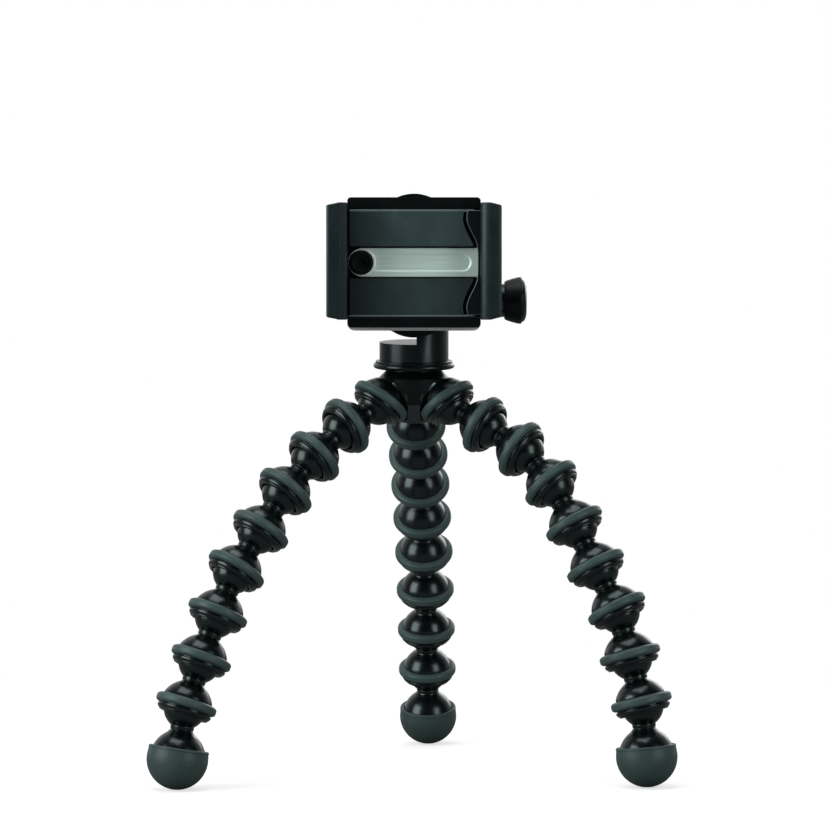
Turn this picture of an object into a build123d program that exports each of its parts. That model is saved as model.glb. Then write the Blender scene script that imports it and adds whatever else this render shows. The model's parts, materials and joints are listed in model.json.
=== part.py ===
from build123d import *

import os
from math import asin, atan2, cos, degrees, radians, sin, sqrt

# A tripod with three legs of ball jointed links, and a sprung clamp that holds a phone.
# Millimetres. +Z is up, the floor is z = 0, the hub stands over x = y = 0 and the clamp faces -Y.

# Ball and socket of every link
ball_diameter = 16.6
ball_clearance = 0.25
socket_wall = 1.95
neck_diameter = 8.8
ball_root_diameter = 10.0
dome_root_diameter = 11.4
mouth_reach = 2.9
mouth_rim_diameter = 18.6
lip_diameter = 20.6
lip_height = 0.9

# Rubber grip ring round every socket
grip_diameter = 24.0
grip_height = 4.6
grip_edge_diameter = 21.4
grip_lead = 1.3
grip_seat_diameter = 19.0
grip_fit = 0.05

# Spacing along a leg, and how steeply each link falls at rest, in degrees below the horizontal
link_pitch = 18.8
foot_reach = 19.7
left_leg_azimuth = 212.4
right_leg_azimuth = 331.9
rear_leg_azimuth = 86.3
left_leg_angles = (29, 39, 45.5, 53.5, 54, 64.5, 67, 69.5, 80)
right_leg_angles = (27, 30, 45, 57.5, 60, 60.5, 73, 74.5, 84)
rear_leg_angles = (40.5, 40, 42, 48.5, 52.5, 60.5, 66, 68, 73.5)

# Feet
foot_diameter = 24.0
foot_dome_diameter = 22.8
foot_rim_rise = 1.2
foot_edge_round = 0.7
foot_stud_diameter = 12.0
foot_stud_length = 4.0

# Hub
hub_joint_radius = 16.2
hub_socket_angle = 50
hub_lean_angle = 4
hub_azimuths = (210, 330, 90)
hub_below = 7.8
hub_shoulder_height = 10.2
hub_panel_width = 24.0
hub_panel_distance = 11.5
hub_web_width = 5.6
hub_web_distance = 6.5
hub_shoulder_diameter = 27.6
hub_neck_diameter = 22.0
hub_neck_start = 13.0
hub_neck_top = 13.6
grip_room = 0.4

# Screw that holds the head, a quarter inch at 20 threads to the inch
screw_diameter = 6.35
screw_top = 22.6
screw_head_diameter = 13.0
screw_head_base = 8.4
screw_head_height = 3.0
screw_fit = 0.05
insert_diameter = 10.0
insert_height = 6.2

# Locking ring between hub and head
ring_diameter = 32.8
ring_upper_diameter = 31.8
ring_waist_diameter = 30.2
ring_edge_diameter = 28.6
ring_height = 3.2
ring_gap = 0.1
ring_bore_clearance = 0.3

# Head base and the arm that carries the tilt hinge
base_diameter = 27.6
base_height = 7.2
arm_offset = 1.0
tilt_height = 40.8
knuckle_diameter = 23.4
arm_shoulder_drop = 13.0
washer_thickness = 0.6
washer_diameter = 20.0
barrel_diameter = 13.2
barrel_jaw_gap = 1.8

# Tilt bolt, nut and knob
bolt_diameter = 6.0
bolt_clearance = 0.1
nut_width = 10.0
nut_height = 4.5
nut_inset = 0.8
thread_clearance = 0.05
pocket_fit = 0.05
knob_neck_diameter = 15.0
knob_diameter = 18.7
knob_length = 6.4
knob_edge = 0.8
knob_cap_diameter = 16.4
knob_cap_crown_diameter = 12.4
knob_cap_height = 2.1
knob_cap_edge = 0.8
bolt_grip = 5.0

# Back housing, a rounded plate that turns on the tilt hinge
housing_base_gap = 0.6
housing_width = 32.4
housing_height = 56.8
housing_thickness = 3.6
housing_drop = 1.2
bridge_height = 17.0
bridge_side = 12.4
clamp_rise = 15.0

# Swivel between the housing and the clamp
pin_diameter = 8.0
pin_clearance = 0.05
pin_head_diameter = 14.0
pin_head_height = 1.6
pin_tail_diameter = 11.6
pin_tail_height = 1.5
pin_room = 0.3
swivel_washer_thickness = 0.8
swivel_washer_diameter = 26.0

# Steel back plate of the clamp
plate_side_margin = 0.2
plate_end_margin = 0.1
plate_thickness = 1.2
plate_drop = 1.2
plate_corner = 3.0
plate_screw_inset = 5.1
plate_screw_head = 5.2
plate_screw_diameter = 2.6
plate_screw_end_wall = 1.7
plate_screw_fit = 0.05

# Clamp body with the channel for its pads
body_width = 52.2
body_height = 51.0
body_depth = 12.0
body_corner = 1.4
channel_height = 41.6
channel_depth = 4.0
channel_bevel = 0.6

# Fixed face pads in the channel
pad_fit = 0.15
pad_thickness = 3.7
pad_slot = 12.6
pad_edge_inset = 6.9
pad_corner_drop = 2.0
pad_edge_hollow = 0.1
pad_nose_inset = 2.5
pad_left_gap = 0.8

# Slide bar with its cap
bar_width = 11.4
bar_thickness = 1.8
bar_left_gap = 0.3
bar_clearance = 0.3
bar_seat = 0.05
groove_width = 7.2
groove_depth = 0.4
groove_left_inset = 11.7
groove_right_inset = 3.5
cap_diameter = 9.4
cap_height = 2.0
cap_edge = 0.5
cap_socket_width = 3.0
cap_socket_depth = 1.0
cap_inset = 5.8
rim_diameter = 11.0
rim_height = 0.7

# Moving plate with its hollow edge
carriage_gap = 1.0
carriage_horn_drop = 1.1
carriage_hollow_gap = 1.9
carriage_set_back = 0.1
carriage_tongue = 4.0
carriage_fit = 0.1

# Jaws
jaw_width = 8.0
jaw_height = 45.6
jaw_rise = 0.5
jaw_reach = 14.0
jaw_lip_thickness = 3.0
jaw_lip_overhang = 0.2
jaw_wall = 4.6
jaw_round = 1.6
jaw_pad_thickness = 1.5
jaw_pad_margin = 1.2

# Guide rods and their springs
rod_diameter = 3.0
rod_clearance = 0.1
rod_spacing = 26.0
rod_head_diameter = 5.0
rod_head_height = 1.5
rod_grip = 4.5
rod_fit = 0.03
spring_bore_diameter = 5.6
spring_outer_diameter = 5.0
spring_inner_diameter = 3.5
rod_left_gap = 3.5
bore_end_wall = 2.0

# How far every cut runs past the piece it cuts
overrun = 1.0

# How often the search for a resting leg halves its range
halvings = 50

# Sizes worked out from the ones above
ball_radius = ball_diameter / 2
socket_radius = ball_radius + ball_clearance
dome_radius = socket_radius + socket_wall
foot_radius = foot_diameter / 2
foot_dome_radius = foot_dome_diameter / 2
base_radius = base_diameter / 2
knuckle_radius = knuckle_diameter / 2
ring_base = hub_neck_top + ring_gap
base_start = ring_base + ring_height + ring_gap
housing_standoff = base_radius + housing_base_gap
housing_front = housing_standoff + housing_thickness
plate_back = housing_front + swivel_washer_thickness
body_back = plate_back + plate_thickness
body_front = body_back + body_depth
channel_floor = body_front - channel_depth
rod_depth = (body_back + channel_floor) / 2
body_side = body_width / 2
plate_width = body_width + 2 * plate_side_margin
plate_height = body_height + 2 * plate_end_margin
barrel_end = body_side + jaw_width + barrel_jaw_gap
knob_start = barrel_end + washer_thickness
screw_slope = degrees(atan2(plate_screw_head - plate_screw_diameter, 2 * plate_thickness))
plate_screw_length = plate_thickness + channel_floor - body_back - plate_screw_end_wall
pad_edge_x = body_side - pad_edge_inset
pad_nose_x = body_side - pad_nose_inset
pad_corner_z = channel_height / 2 - pad_corner_drop
bar_left = bar_left_gap - body_side
cap_x = cap_inset - body_side
carriage_horn_x = pad_edge_x + carriage_gap
carriage_horn_z = pad_corner_z - carriage_horn_drop
carriage_hollow_x = pad_nose_x + carriage_hollow_gap
spring_end = body_side - bore_end_wall
rod_start = rod_left_gap - body_side
bar_back = channel_floor + bar_clearance
bar_front = bar_back + bar_thickness
jaw_front = body_front + jaw_reach


def drop_below(falls, turn):
    """how far the floor lies below a leg's first joint, with every link turned by one angle"""
    drop = foot_radius
    for fall in falls[:-1]:
        drop += link_pitch * sin(radians(fall + turn))
    return drop + foot_reach * sin(radians(falls[-1] + turn))


def settled(falls, height):
    """the same falls, all turned by the one small angle that rests the foot on the floor"""
    low = -min(falls)
    high = 90 - max(falls)
    for halving in range(halvings):
        turn = (low + high) / 2
        if drop_below(falls, turn) < height:
            low = turn
        else:
            high = turn
    return [fall + turn for fall in falls]


def rise_at(azimuth):
    """how far the leaning hub lifts the joint at one azimuth"""
    return hub_joint_radius * sin(radians(azimuth)) * sin(radians(hub_lean_angle))


hub_height = drop_below(left_leg_angles, 0) - rise_at(hub_azimuths[0])
hub_plane = Plane(
    origin=(0, 0, hub_height),
    x_dir=(1, 0, 0),
    z_dir=(0, -sin(radians(hub_lean_angle)), cos(radians(hub_lean_angle))),
)
tilt_point = hub_plane.origin + hub_plane.z_dir * tilt_height
clamp_z = tilt_point.Z + clamp_rise
jaw_foot = clamp_z + jaw_rise - jaw_height / 2


def hub_direction(azimuth, fall):
    """a direction seen from the hub, by azimuth and by angle below its own level"""
    level = hub_plane.x_dir * cos(radians(azimuth)) + hub_plane.y_dir * sin(radians(azimuth))
    return level * cos(radians(fall)) - hub_plane.z_dir * sin(radians(fall))


def hub_joint(azimuth):
    """the centre of one of the hub's three balls"""
    return hub_plane.origin + hub_direction(azimuth, 0) * hub_joint_radius


def section(start, along):
    """a plane that holds the line along from start, which is the plane's own Y axis"""
    side = Vector(0, 0, 1).cross(along).normalized()
    return Plane(origin=start, x_dir=side, z_dir=side.cross(along))


def leg_chain(azimuth, falls, start):
    """the ball centre and direction of every link in one leg"""
    flat = Vector(cos(radians(azimuth)), sin(radians(azimuth)), 0)
    chain = []
    joint = start
    for fall in settled(falls, start.Z):
        along = flat * cos(radians(fall)) - Vector(0, 0, 1) * sin(radians(fall))
        chain.append((joint, along))
        joint = joint + along * link_pitch
    return chain


legs = {
    "left": leg_chain(left_leg_azimuth, left_leg_angles, hub_joint(hub_azimuths[0])),
    "right": leg_chain(right_leg_azimuth, right_leg_angles, hub_joint(hub_azimuths[1])),
    "rear": leg_chain(rear_leg_azimuth, rear_leg_angles, hub_joint(hub_azimuths[2])),
}


def facing(depth):
    """a plane of the clamp, that far in front of the tilt hinge and looking forward"""
    return Plane(origin=(0, tilt_point.Y - depth, clamp_z), x_dir=(1, 0, 0), z_dir=(0, -1, 0))


def across(x, upward):
    """a plane square to the tilt hinge, with its own Y along upward"""
    sideways = Vector(1, 0, 0)
    return Plane(origin=(x, tilt_point.Y, tilt_point.Z), x_dir=upward.cross(sideways), z_dir=sideways)


def save(piece, label):
    """names a finished piece and writes it"""
    piece.part.label = label
    export_step(piece.part, f"parts/{label}.step")


def sphere_height(radius, from_axis):
    """how far from a ball's middle its surface lies, at a distance from the axis"""
    return sqrt(radius**2 - from_axis**2)


def arc_on_ball(radius, centre, first, last):
    """an arc round a ball that sits on the section's Y axis, between two angles from its near pole"""
    middle = (first + last) / 2
    places = [(radius * sin(a), centre - radius * cos(a)) for a in (first, middle, last)]
    ThreePointArc(*places)


def cup_outside(centre, root_radius):
    """draws the dome from its root, the grip's seat and the lip"""
    grip_start = centre - grip_lead - grip_height / 2
    grip_end = grip_start + grip_height
    shoulder = sphere_height(dome_radius, centre - grip_start)
    seat = grip_seat_diameter / 2
    lip = lip_diameter / 2
    arc_on_ball(dome_radius, centre, asin(root_radius / dome_radius), asin(shoulder / dome_radius))
    Polyline(
        (shoulder, grip_start),
        (seat, grip_start),
        (seat, grip_end),
        (lip, grip_end),
        (lip, grip_end + lip_height),
        (mouth_rim_diameter / 2, centre + mouth_reach),
    )


def cup_inside(centre):
    """draws the mouth and the inside of the socket"""
    mouth = sphere_height(socket_radius, mouth_reach)
    Line((mouth_rim_diameter / 2, centre + mouth_reach), (mouth, centre + mouth_reach))
    arc_on_ball(socket_radius, centre, radians(180) - asin(mouth / socket_radius), 0)


def stem_outline(root_radius, root_distance):
    """the ball at a link's upper end and its neck, up to the root of what the neck carries"""
    ball_root = ball_root_diameter / 2
    ball_exit = sphere_height(ball_radius, ball_root)
    arc_on_ball(ball_radius, 0, 0, radians(180) - asin(ball_root / ball_radius))
    ThreePointArc(
        (ball_root, ball_exit),
        (neck_diameter / 2, (ball_exit + root_distance) / 2),
        (root_radius, root_distance),
    )


def grip_outline(centre):
    """a rubber ring with a round back, on its seat"""
    seat = grip_seat_diameter / 2 + grip_fit
    edge = grip_edge_diameter / 2
    start = centre - grip_lead - grip_height / 2 + grip_fit
    end = centre - grip_lead + grip_height / 2 - grip_fit
    Polyline((edge, start), (seat, start), (seat, end), (edge, end))
    ThreePointArc((edge, end), (grip_diameter / 2, centre - grip_lead), (edge, start))


def make_link(label, joint, along):
    """a link: ball, neck, dome and socket in one moulding, with its rubber grip ring"""
    root = dome_root_diameter / 2
    with BuildPart() as link:
        with BuildSketch(section(joint, along)):
            with BuildLine():
                stem_outline(root, link_pitch - sphere_height(dome_radius, root))
                cup_outside(link_pitch, root)
                cup_inside(link_pitch)
                Line((0, link_pitch - socket_radius), (0, -ball_radius))
            make_face()
        revolve(axis=Axis(joint, along))
        with BuildSketch(section(joint, along)):
            with BuildLine():
                grip_outline(link_pitch)
            make_face()
        revolve(axis=Axis(joint, along))
    save(link, label)


def make_foot_link(label, joint, along):
    """the last moulding of a leg: ball, neck, a dome and the stud that the rubber foot sits on"""
    root = dome_root_diameter / 2
    rim = foot_reach - foot_rim_rise
    edge = sphere_height(foot_dome_radius, foot_rim_rise)
    stud = foot_stud_diameter / 2
    with BuildPart() as foot_link:
        with BuildSketch(section(joint, along)):
            with BuildLine():
                stem_outline(root, foot_reach - sphere_height(foot_dome_radius, root))
                arc_on_ball(
                    foot_dome_radius,
                    foot_reach,
                    asin(root / foot_dome_radius),
                    asin(edge / foot_dome_radius),
                )
                Polyline(
                    (edge, rim),
                    (stud, rim),
                    (stud, rim + foot_stud_length),
                    (0, rim + foot_stud_length),
                    (0, -ball_radius),
                )
            make_face()
        revolve(axis=Axis(joint, along))
    save(foot_link, label)


def make_foot_pad(label, joint, along):
    """the rubber half ball at the end of a leg"""
    stud = foot_stud_diameter / 2 + grip_fit
    top = foot_reach - foot_rim_rise + grip_fit
    flank = foot_reach - foot_rim_rise + foot_edge_round
    side = sphere_height(foot_radius, foot_rim_rise - foot_edge_round)
    floor = top + foot_stud_length
    with BuildPart() as foot_pad:
        with BuildSketch(section(joint, along)):
            with BuildLine():
                Polyline((0, floor), (stud, floor), (stud, top), (side - foot_edge_round, top))
                Line((side - foot_edge_round, top), (side, flank))
                arc_on_ball(foot_radius, foot_reach, asin(side / foot_radius), radians(180))
                Line((0, foot_reach + foot_radius), (0, floor))
            make_face()
        revolve(axis=Axis(joint, along))
    save(foot_pad, label)


def six_sides(panel_width, panel_distance):
    """draws an outline with three panels that face between the legs and three corners"""
    corners = []
    half_sector = 180 / len(hub_azimuths)
    for azimuth in hub_azimuths:
        facing_angle = radians(azimuth + half_sector)
        middle = Vector(cos(facing_angle), sin(facing_angle)) * panel_distance
        half = Vector(-sin(facing_angle), cos(facing_angle)) * (panel_width / 2)
        corners.append(middle - half)
        corners.append(middle + half)
    corners.sort(key=lambda corner: Vector(1, 0).get_signed_angle(Vector(corner.X, corner.Y)))
    Polyline(*corners, close=True)


def make_hub():
    """the Y shaped hub with its three sockets"""
    room = grip_diameter / 2 + grip_room
    room_start = -grip_lead - grip_height / 2 - grip_room
    with BuildPart() as hub_body:
        with BuildSketch(hub_plane.offset(-hub_below)):
            with BuildLine():
                six_sides(hub_web_width, hub_web_distance)
            make_face()
        with BuildSketch(hub_plane.offset(hub_shoulder_height)):
            with BuildLine():
                six_sides(hub_panel_width, hub_panel_distance)
            make_face()
        loft(ruled=True)
        with BuildSketch(Plane(origin=hub_plane.origin, x_dir=hub_plane.x_dir, z_dir=-hub_plane.y_dir)):
            with BuildLine():
                Polyline(
                    (0, 0),
                    (hub_shoulder_diameter / 2 - overrun, 0),
                    (hub_shoulder_diameter / 2, hub_shoulder_height),
                    (hub_neck_diameter / 2, hub_neck_start),
                    (hub_neck_diameter / 2, hub_neck_top),
                    (0, hub_neck_top),
                    close=True,
                )
            make_face()
        revolve(axis=Axis(hub_plane.origin, hub_plane.z_dir))
        for azimuth in hub_azimuths:
            joint = hub_joint(azimuth)
            along = hub_direction(azimuth, hub_socket_angle)
            with BuildSketch(section(joint, along)):
                with BuildLine():
                    Polyline((0, room_start), (room, room_start), (room, room), (0, room), close=True)
                make_face()
            revolve(axis=Axis(joint, along), mode=Mode.SUBTRACT)
            with BuildSketch(section(joint, along)):
                with BuildLine():
                    cup_outside(0, 0)
                    Polyline((mouth_rim_diameter / 2, mouth_reach), (0, mouth_reach), (0, -dome_radius))
                make_face()
            revolve(axis=Axis(joint, along))
        for azimuth in hub_azimuths:
            joint = hub_joint(azimuth)
            along = hub_direction(azimuth, hub_socket_angle)
            with BuildSketch(section(joint, along)):
                with BuildLine():
                    arc_on_ball(socket_radius, 0, 0, radians(180))
                    Line((0, socket_radius), (0, -socket_radius))
                make_face()
            revolve(axis=Axis(joint, along), mode=Mode.SUBTRACT)
        with BuildSketch(hub_plane.offset(screw_head_base)):
            Circle(screw_head_diameter / 2)
        extrude(amount=screw_head_height, mode=Mode.SUBTRACT)
        with BuildSketch(hub_plane.offset(screw_head_base)):
            Circle(screw_diameter / 2)
        extrude(amount=hub_neck_top, mode=Mode.SUBTRACT)
    save(hub_body, "hub_body")


def make_hub_grips():
    """the rubber rings round the hub's three sockets"""
    with BuildPart() as hub_grips:
        for azimuth in hub_azimuths:
            joint = hub_joint(azimuth)
            along = hub_direction(azimuth, hub_socket_angle)
            with BuildSketch(section(joint, along)):
                with BuildLine():
                    grip_outline(0)
                make_face()
            revolve(axis=Axis(joint, along))
    save(hub_grips, "hub_grip_rings")


def make_screw():
    """the camera screw, with its head moulded into the hub"""
    with BuildPart() as screw:
        with BuildSketch(hub_plane.offset(screw_head_base)):
            Circle(screw_head_diameter / 2)
        extrude(amount=screw_head_height)
        with BuildSketch(hub_plane.offset(screw_head_base)):
            Circle(screw_diameter / 2)
        extrude(amount=screw_top - screw_head_base)
    save(screw, "tripod_screw")


def make_locking_ring():
    """the ring with two beads that locks the head on its screw"""
    bore = screw_diameter / 2 + ring_bore_clearance
    edge = ring_edge_diameter / 2
    waist = ring_waist_diameter / 2
    middle = ring_base + ring_height / 2
    top = ring_base + ring_height
    with BuildPart() as ring:
        with BuildSketch(Plane(origin=hub_plane.origin, x_dir=hub_plane.x_dir, z_dir=-hub_plane.y_dir)):
            with BuildLine():
                Polyline((edge, top), (bore, top), (bore, ring_base), (edge, ring_base))
                ThreePointArc(
                    (edge, ring_base), (ring_diameter / 2, (ring_base + middle) / 2), (waist, middle)
                )
                ThreePointArc(
                    (waist, middle), (ring_upper_diameter / 2, (middle + top) / 2), (edge, top)
                )
            make_face()
        revolve(axis=Axis(hub_plane.origin, hub_plane.z_dir))
    save(ring, "locking_ring")


def make_insert():
    """the threaded insert in the head's base"""
    with BuildPart() as insert:
        with BuildSketch(hub_plane.offset(base_start)):
            Circle(insert_diameter / 2)
            Circle(screw_diameter / 2 + screw_fit, mode=Mode.SUBTRACT)
        extrude(amount=insert_height)
    save(insert, "screw_insert")


def half_column(start, end):
    """the part of a round column between two places across its width"""
    Circle(base_radius)
    with Locations(((start + end) / 2, 0)):
        Rectangle(end - start, 2 * base_radius + overrun, mode=Mode.INTERSECT)


def make_arm():
    """the head's round base with the half column that carries the tilt hinge and its barrel"""
    height = tilt_height - base_start
    with BuildPart() as arm:
        with BuildSketch(hub_plane.offset(base_start)):
            half_column(arm_offset, base_radius + overrun)
        extrude(amount=height + knuckle_radius)
        with BuildSketch(across(0, hub_plane.z_dir)):
            Circle(knuckle_radius)
            with BuildLine():
                Polyline(
                    (-base_radius - overrun, -height - overrun),
                    (-base_radius - overrun, -arm_shoulder_drop),
                    (-knuckle_radius, 0),
                    (knuckle_radius, 0),
                    (base_radius + overrun, -arm_shoulder_drop),
                    (base_radius + overrun, -height - overrun),
                    close=True,
                )
            make_face()
        extrude(amount=base_radius + overrun, mode=Mode.INTERSECT)
        with BuildSketch(hub_plane.offset(base_start)):
            Circle(base_radius)
        extrude(amount=base_height)
        with BuildSketch(across(base_radius / 2, hub_plane.z_dir)):
            Circle(barrel_diameter / 2)
        extrude(amount=barrel_end - base_radius / 2)
        with BuildSketch(across(0, hub_plane.z_dir)):
            Circle(bolt_diameter / 2 + bolt_clearance)
        extrude(amount=barrel_end + overrun, mode=Mode.SUBTRACT)
        with BuildSketch(hub_plane.offset(base_start)):
            Circle(insert_diameter / 2)
        extrude(amount=insert_height, mode=Mode.SUBTRACT)
    save(arm, "tilt_arm")


def make_washers():
    """the two washers of the tilt hinge: between its knuckles and under the knob"""
    bore = bolt_diameter / 2 + bolt_clearance
    with BuildPart() as washers:
        with BuildSketch(across(arm_offset - washer_thickness, hub_plane.z_dir)):
            Circle(washer_diameter / 2)
            Circle(bore, mode=Mode.SUBTRACT)
        extrude(amount=washer_thickness)
        with BuildSketch(across(barrel_end, hub_plane.z_dir)):
            Circle(barrel_diameter / 2)
            Circle(bore, mode=Mode.SUBTRACT)
        extrude(amount=washer_thickness)
    save(washers, "tilt_washers")


def make_bolt():
    """the threaded bolt of the tilt hinge, which turns with the knob"""
    start = nut_inset - base_radius
    with BuildPart() as bolt:
        with BuildSketch(across(start, hub_plane.z_dir)):
            Circle(bolt_diameter / 2)
        extrude(amount=knob_start + bolt_grip - start)
    save(bolt, "tilt_bolt")


def make_nut():
    """the nut held in the left knuckle"""
    with BuildPart() as nut:
        with BuildSketch(across(nut_inset - base_radius, Vector(0, 0, 1))):
            RegularPolygon(nut_width / 2, 6, major_radius=False)
            Circle(bolt_diameter / 2 + thread_clearance, mode=Mode.SUBTRACT)
        extrude(amount=nut_height)
    save(nut, "tilt_nut")


def knob_section():
    """a plane through the tilt hinge, with its Y along the hinge and its zero at the knob"""
    return Plane(origin=(knob_start, tilt_point.Y, tilt_point.Z), x_dir=(0, 0, 1), z_dir=(0, 1, 0))


def make_knob():
    """the flared knob that locks the tilt hinge"""
    bore = bolt_diameter / 2
    outer = knob_diameter / 2
    neck = knob_neck_diameter / 2
    with BuildPart() as knob:
        with BuildSketch(knob_section()):
            with BuildLine():
                Polyline(
                    (0, bolt_grip),
                    (bore, bolt_grip),
                    (bore, 0),
                    (neck - knob_edge, 0),
                    (neck, knob_edge),
                    (outer, knob_length - knob_edge),
                    (outer - knob_edge, knob_length),
                    (0, knob_length),
                    close=True,
                )
            make_face()
        revolve(axis=Axis((knob_start, tilt_point.Y, tilt_point.Z), (1, 0, 0)))
    save(knob, "tilt_knob")


def make_knob_cap():
    """the stepped cap on the knob's end"""
    outer = knob_cap_diameter / 2
    crown = knob_cap_crown_diameter / 2
    top = knob_length + knob_cap_height
    with BuildPart() as knob_cap:
        with BuildSketch(knob_section()):
            with BuildLine():
                Polyline((0, top), (0, knob_length), (outer, knob_length))
                Line((outer, knob_length), (outer, knob_length + knob_cap_edge))
                ThreePointArc(
                    (outer, knob_length + knob_cap_edge),
                    ((outer + crown) / 2 + knob_cap_edge / 2, top - knob_cap_edge / 2),
                    (crown, top),
                )
                Line((crown, top), (0, top))
            make_face()
        revolve(axis=Axis((knob_start, tilt_point.Y, tilt_point.Z), (1, 0, 0)))
    save(knob_cap, "knob_cap")


def make_housing():
    """the back housing: a rounded plate with the left knuckle of the tilt hinge"""
    face = arm_offset - washer_thickness
    level = Plane(origin=(0, tilt_point.Y, tilt_point.Z - knuckle_radius))
    with BuildPart() as housing:
        with BuildSketch(level):
            half_column(-base_radius - overrun, face)
        extrude(amount=2 * knuckle_radius)
        with BuildSketch(across(-base_radius - overrun, Vector(0, 0, 1))):
            Circle(knuckle_radius)
        extrude(amount=base_radius + overrun + face, mode=Mode.INTERSECT)
        with BuildSketch(Plane(origin=(0, tilt_point.Y, tilt_point.Z - bridge_height / 2))):
            with Locations(((face - bridge_side) / 2, -housing_standoff / 2)):
                Rectangle(face + bridge_side, housing_standoff)
        extrude(amount=bridge_height)
        with BuildSketch(facing(housing_standoff)):
            with Locations((0, -housing_drop)):
                SlotOverall(housing_height, housing_width, rotation=90)
        extrude(amount=housing_thickness)
        with BuildSketch(across(-base_radius - overrun, Vector(0, 0, 1))):
            Circle(bolt_diameter / 2 + bolt_clearance)
        extrude(amount=2 * base_radius, mode=Mode.SUBTRACT)
        with BuildSketch(across(-base_radius - overrun, Vector(0, 0, 1))):
            RegularPolygon(nut_width / 2 + pocket_fit, 6, major_radius=False)
        extrude(amount=overrun + nut_inset + nut_height, mode=Mode.SUBTRACT)
        with BuildSketch(facing(housing_standoff)):
            Circle(pin_tail_diameter / 2 + pocket_fit)
        extrude(amount=pin_tail_height + pocket_fit, mode=Mode.SUBTRACT)
        with BuildSketch(facing(housing_standoff)):
            Circle(pin_diameter / 2 + pocket_fit)
        extrude(amount=housing_thickness + overrun, mode=Mode.SUBTRACT)
    save(housing, "back_housing")


def make_swivel_pin():
    """the riveted pin that the clamp turns on"""
    length = body_back - housing_standoff
    with BuildPart() as pin:
        with BuildSketch(facing(housing_standoff)):
            Circle(pin_diameter / 2)
        extrude(amount=length)
        with BuildSketch(facing(housing_standoff)):
            Circle(pin_tail_diameter / 2)
        extrude(amount=pin_tail_height)
        with BuildSketch(facing(body_back)):
            Circle(pin_head_diameter / 2)
        extrude(amount=pin_head_height)
    save(pin, "swivel_pin")


def make_swivel_washer():
    """the thin washer between the housing and the clamp"""
    with BuildPart() as washer:
        with BuildSketch(facing(housing_front)):
            Circle(swivel_washer_diameter / 2)
            Circle(pin_diameter / 2 + pin_clearance, mode=Mode.SUBTRACT)
        extrude(amount=swivel_washer_thickness)
    save(washer, "swivel_washer")


def screw_places():
    """the places of the four screws in the back plate"""
    return GridLocations(body_width - 2 * plate_screw_inset, body_height - 2 * plate_screw_inset, 2, 2)


def make_plate():
    """the steel back plate of the clamp"""
    with BuildPart() as plate:
        with BuildSketch(facing(plate_back)):
            with Locations((0, -plate_drop)):
                RectangleRounded(plate_width, plate_height, plate_corner)
            Circle(pin_diameter / 2 + pin_clearance, mode=Mode.SUBTRACT)
        extrude(amount=plate_thickness)
        with BuildSketch(facing(plate_back)):
            with screw_places():
                Circle(plate_screw_head / 2 + plate_screw_fit)
        extrude(amount=plate_thickness, taper=screw_slope, mode=Mode.SUBTRACT)
    save(plate, "clamp_plate")


def make_plate_screws():
    """the four countersunk screws that hold the back plate to the clamp body"""
    with BuildPart() as screws:
        with BuildSketch(facing(plate_back)):
            with screw_places():
                Circle(plate_screw_head / 2)
        extrude(amount=plate_thickness, taper=screw_slope)
        with BuildSketch(facing(body_back)):
            with screw_places():
                Circle(plate_screw_diameter / 2)
        extrude(amount=plate_screw_length - plate_thickness)
    save(screws, "plate_screws")


def make_clamp_body():
    """the black frame of the clamp, with the channel, the pin's room and the spring bores"""
    with BuildPart() as body:
        with BuildSketch(facing(body_back)):
            RectangleRounded(body_width, body_height, body_corner)
        extrude(amount=body_depth)
        with BuildSketch(facing(channel_floor)):
            Rectangle(body_width + overrun, channel_height)
        extrude(amount=channel_depth + overrun, mode=Mode.SUBTRACT)
        with BuildSketch(facing(body_front - channel_bevel)):
            Rectangle(body_width + overrun, channel_height)
        extrude(amount=channel_bevel + overrun, taper=-45, mode=Mode.SUBTRACT)
        with BuildSketch(facing(body_back)):
            Circle(pin_head_diameter / 2 + pin_room)
        extrude(amount=pin_head_height + pin_room, mode=Mode.SUBTRACT)
        with BuildSketch(facing(body_back)):
            with screw_places():
                Circle(plate_screw_diameter / 2 + plate_screw_fit)
        extrude(amount=plate_screw_length - plate_thickness + plate_screw_fit, mode=Mode.SUBTRACT)
        for side in (-1, 1):
            with BuildSketch(rod_plane(side, -body_side)):
                Circle(spring_bore_diameter / 2)
            extrude(amount=spring_end + body_side, mode=Mode.SUBTRACT)
            with BuildSketch(rod_plane(side, -body_side)):
                Circle(rod_diameter / 2 + rod_clearance)
            extrude(amount=body_width + overrun, mode=Mode.SUBTRACT)
    save(body, "clamp_body")


def rod_plane(side, x):
    """a plane square to one guide rod"""
    height = clamp_z + side * rod_spacing / 2
    return Plane(origin=(x, tilt_point.Y - rod_depth, height), x_dir=(0, 1, 0), z_dir=(1, 0, 0))


def make_pad(side, label):
    """one of the two face pads in the channel, with a round nose towards the moving jaw"""
    low = side * pad_slot / 2
    high = side * (channel_height / 2 - pad_fit)
    left = pad_left_gap - body_side
    middle = ((pad_edge_x + pad_nose_x) / 2 - pad_edge_hollow, (side * pad_corner_z + low) / 2)
    with BuildPart() as pad:
        with BuildSketch(facing(channel_floor)):
            with BuildLine():
                Polyline((pad_nose_x, low), (left, low), (left, high), (pad_edge_x, high))
                Line((pad_edge_x, high), (pad_edge_x, side * pad_corner_z))
                ThreePointArc(
                    (pad_edge_x, side * pad_corner_z),
                    middle,
                    (pad_nose_x, low),
                )
            make_face()
        extrude(amount=pad_thickness)
    save(pad, label)


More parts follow.
